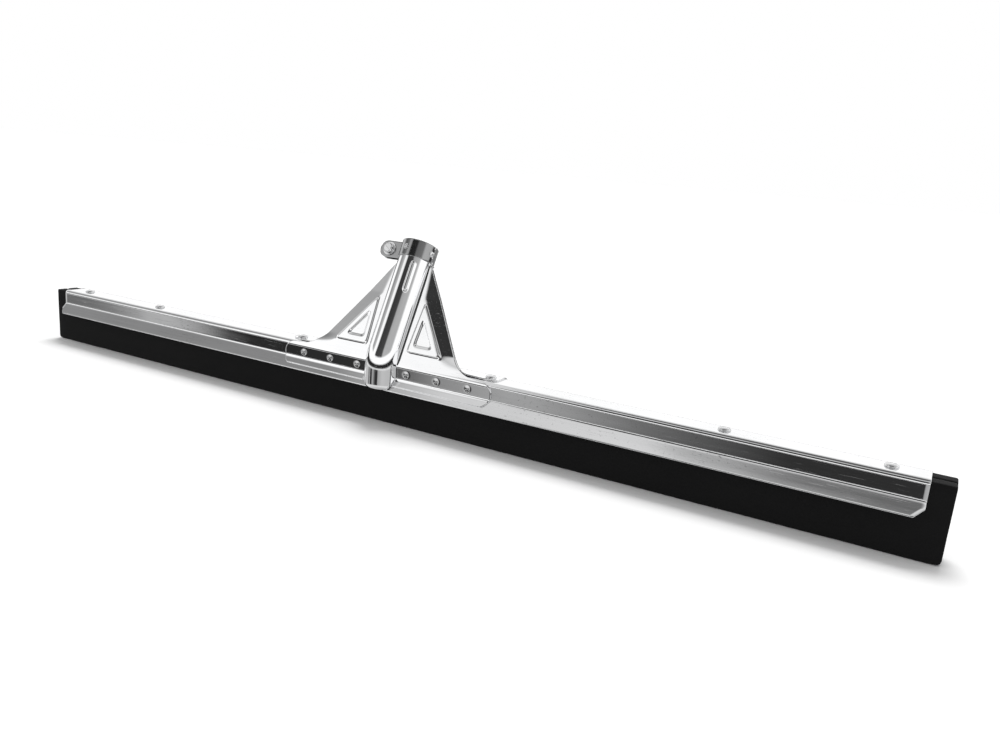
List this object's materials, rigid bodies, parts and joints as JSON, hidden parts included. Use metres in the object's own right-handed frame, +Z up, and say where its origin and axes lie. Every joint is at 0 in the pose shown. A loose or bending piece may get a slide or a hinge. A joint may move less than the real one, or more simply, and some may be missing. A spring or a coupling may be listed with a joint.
{
  "type": "floor squeegee head",
  "caption": "Wide squeegee head: folded zinc-plated steel channel holding two black foam rubber strips, with a riveted and welded bracket and a tilted clamp socket for a round handle.",
  "frame": {"origin": "middle of the front foam strip's bottom edge, where the blade meets the floor", "axes": "+X along the blade, towards the right end seen from the front; +Y to the rear, the way the handle leans; +Z up"},
  "size_m": [0.75, 0.0659, 0.1341],
  "materials": {
    "zinc_sheet": "bright zinc-plated sheet steel, lightly streaked and scuffed",
    "zinc_fasteners": "zinc-plated fasteners",
    "foam_rubber": "matte closed-cell foam rubber"
  },
  "bodies": {
    "head": {"blade_channel": "zinc_sheet", "retaining_rail": "zinc_sheet", "bracket_front_shell": "zinc_sheet", "bracket_rear_shell": "zinc_sheet", "collar_band": "zinc_sheet", "channel_rivet_1": "zinc_fasteners", "channel_rivet_2": "zinc_fasteners", "channel_rivet_3": "zinc_fasteners", "channel_rivet_4": "zinc_fasteners", "channel_rivet_5": "zinc_fasteners", "channel_rivet_6": "zinc_fasteners", "collar_stake_1": "zinc_fasteners", "collar_stake_2": "zinc_fasteners", "clamp_nut": "zinc_fasteners", "front_strip": "foam_rubber", "rear_strip": "foam_rubber"},
    "washer_travel": {"screw_washer": "zinc_fasteners"},
    "screw": {"clamp_screw": "zinc_fasteners"}
  },
  "joints": [
    {"name": "screw_back_out", "type": "slide", "parent": "head", "child": "washer_travel", "axis": [0, -0.8965, 0.4431], "range_m": [0, 0.0028]},
    {"name": "screw_turn", "type": "hinge", "parent": "washer_travel", "child": "screw", "pos_m": [-0.0245, 0.03037, 0.12333], "axis": [0, -0.8965, 0.4431], "range_deg": [0, 1440]}
  ],
  "couplings": [
    {"joint": "screw_turn", "follows": "screw_back_out", "rad_per_m": 8976}
  ]
}
